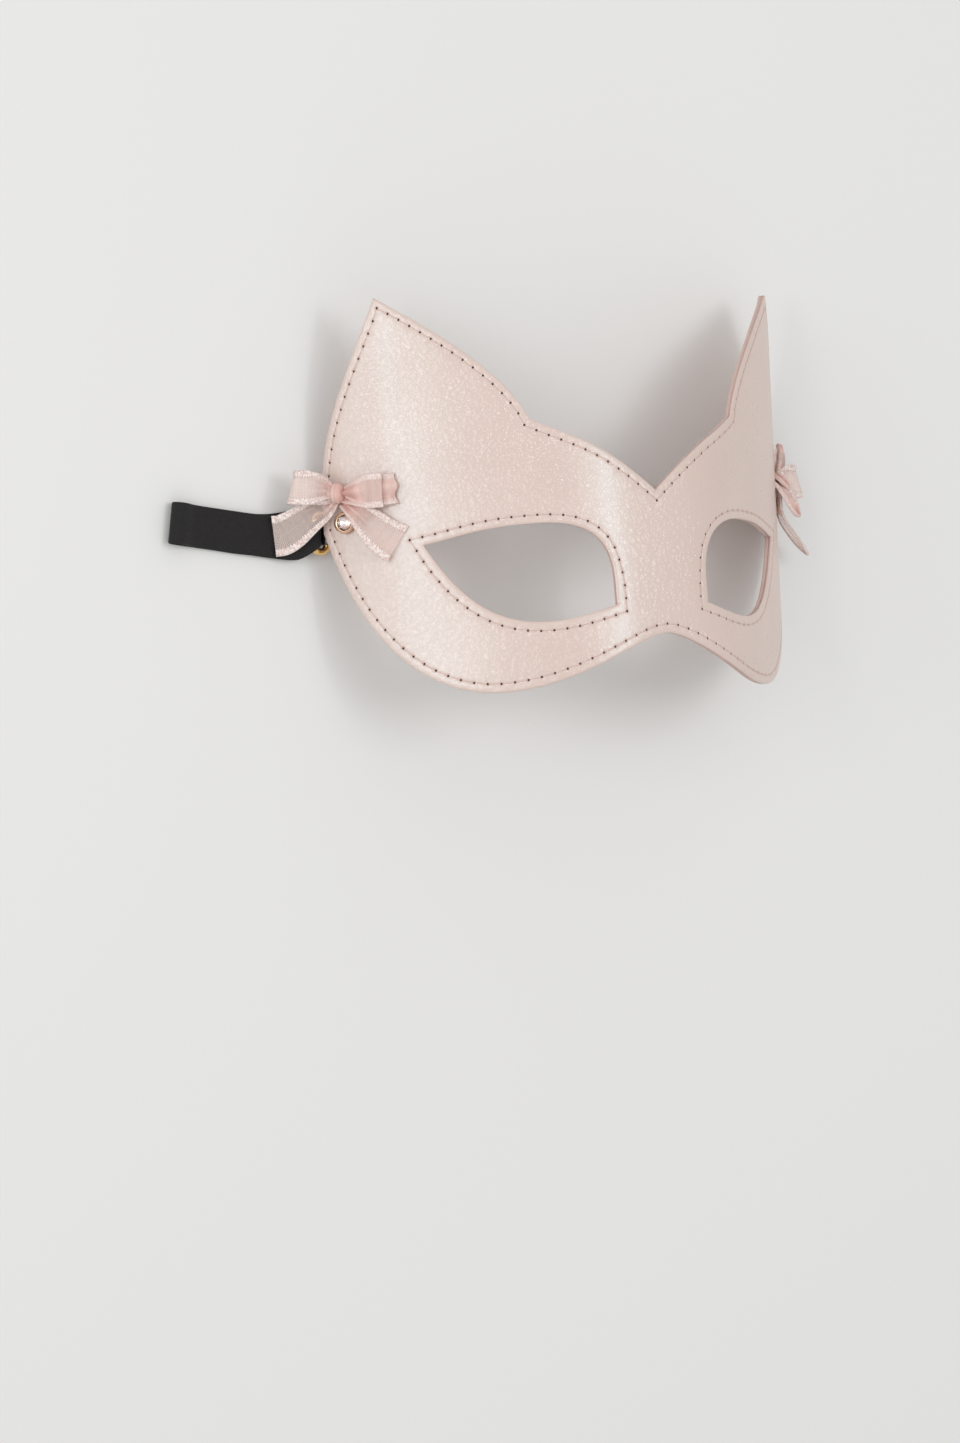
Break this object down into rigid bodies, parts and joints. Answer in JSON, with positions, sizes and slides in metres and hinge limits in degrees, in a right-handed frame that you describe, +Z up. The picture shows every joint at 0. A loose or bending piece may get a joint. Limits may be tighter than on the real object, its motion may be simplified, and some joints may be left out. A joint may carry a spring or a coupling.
{
  "type": "leather cat mask",
  "caption": "Half-face cat mask of moulded pink leather with pointed ears, ribbon bows, crystal rivets and a black elastic strap, lying face up.",
  "frame": {"origin": "centre of the bounding box at the surface the mask lies on", "axes": "+X across the face from the temple where the strap comes out to the other temple, +Y from the chin edge to the ears, +Z up, out of the front of the face"},
  "size_m": [0.23, 0.1194, 0.0634],
  "materials": {
    "face_leather": "pale pink leather with a fine grain and a pearly sheen",
    "lining_leather": "matt pale pink lining",
    "ribbon": "sheer pink organza ribbon with satin edges",
    "rose_gold": "polished rose gold plating",
    "crystal": "clear faceted crystal",
    "tab_leather": "black patent leather, glossy",
    "gold": "polished gold plating",
    "elastic": "black woven elastic, matt"
  },
  "bodies": {
    "root": {"face_leather": "face_leather", "lining_leather": "lining_leather", "bow_near": "ribbon", "bow_far": "ribbon", "rivet_near": "rose_gold", "rivet_far": "rose_gold", "crystal_near": "crystal", "crystal_far": "crystal", "strap_tab_near": "tab_leather", "strap_tab_far": "tab_leather", "strap_ring_near": "gold", "strap_ring_far": "gold", "elastic_strap": "elastic"}
  },
  "joints": []
}
